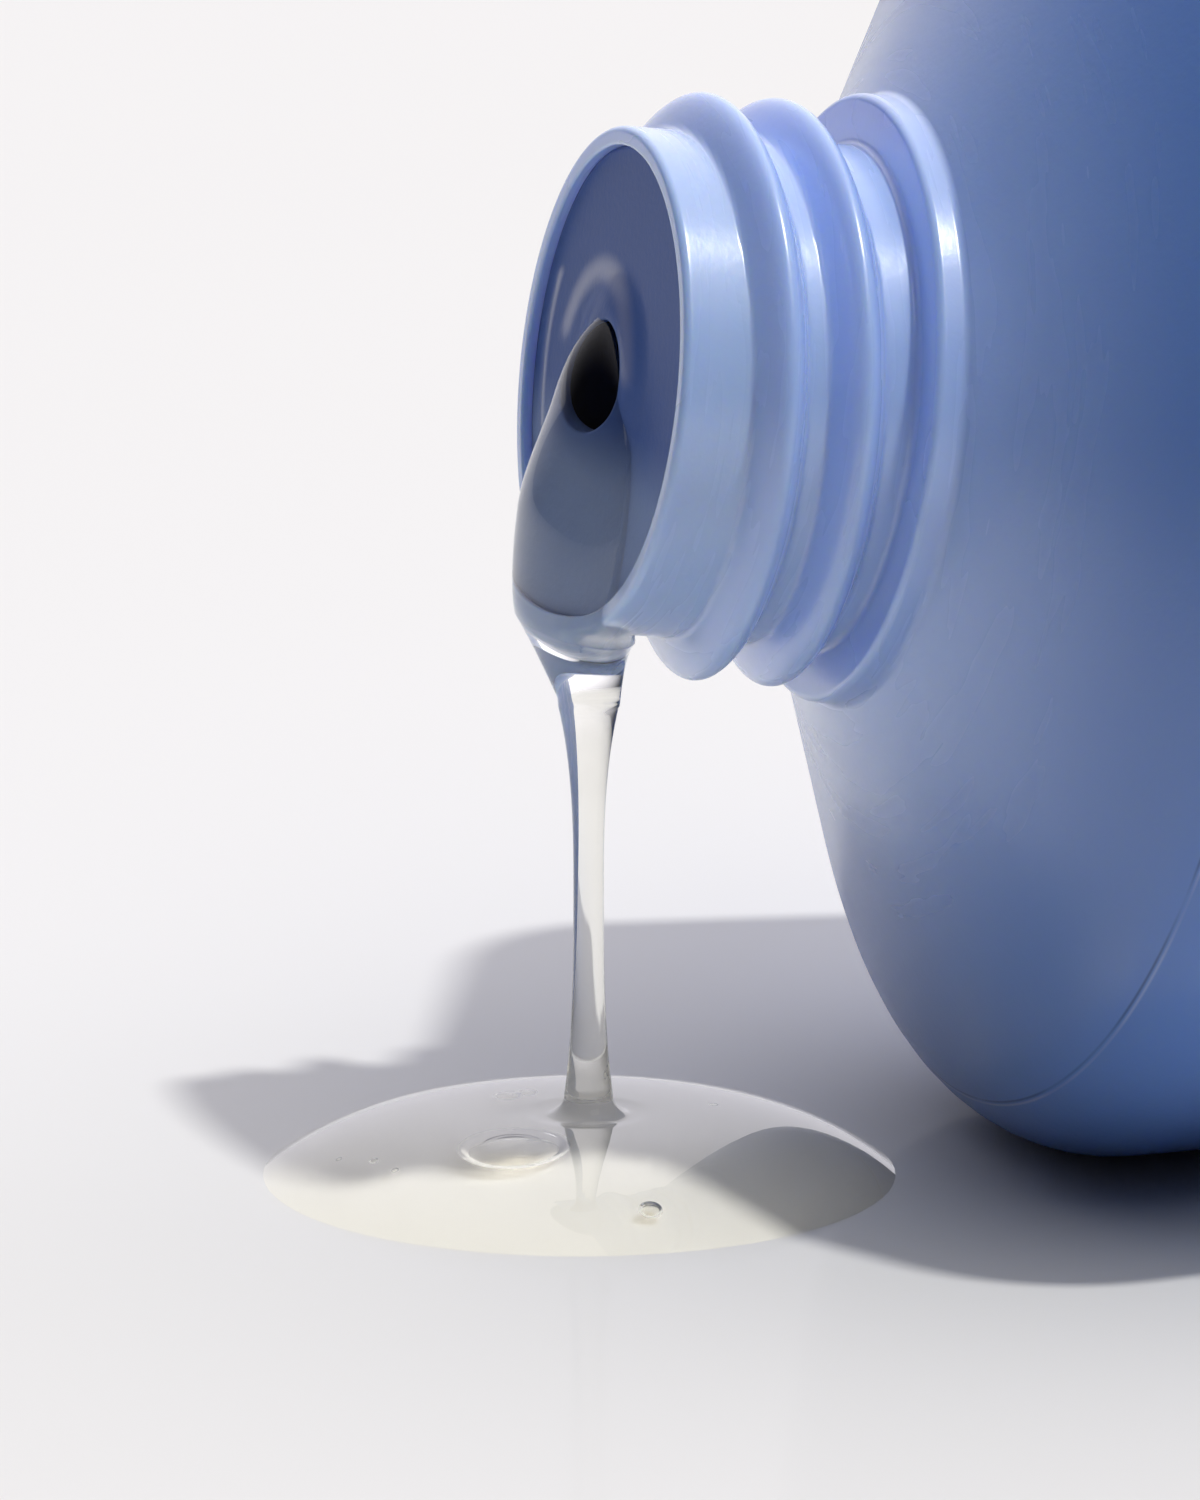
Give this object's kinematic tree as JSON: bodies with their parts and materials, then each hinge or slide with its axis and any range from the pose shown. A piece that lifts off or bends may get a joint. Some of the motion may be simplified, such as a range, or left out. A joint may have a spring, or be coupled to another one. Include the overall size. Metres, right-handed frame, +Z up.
{
  "type": "cleansing gel bottle",
  "caption": "Blow-moulded bottle lying on its side, with a threaded neck, an orifice reducer and clear gel that runs over the lip into a puddle.",
  "frame": {"origin": "middle of the bottom of the whole object's box, on the surface that the bottle and the puddle lie on", "axes": "+Z up, +X along the lying bottle from its neck to its base, +Y away from the side that the picture shows"},
  "size_m": [0.1148, 0.0604, 0.0599],
  "materials": {
    "bottle_plastic": "satin periwinkle blue, opaque",
    "reducer_plastic": "satin blue, opaque",
    "gel": "clear gel with a faint olive tint"
  },
  "bodies": {
    "root": {"bottle": "bottle_plastic", "orifice_reducer": "reducer_plastic", "gel_contents": "gel", "gel_pour": "gel"}
  },
  "joints": []
}
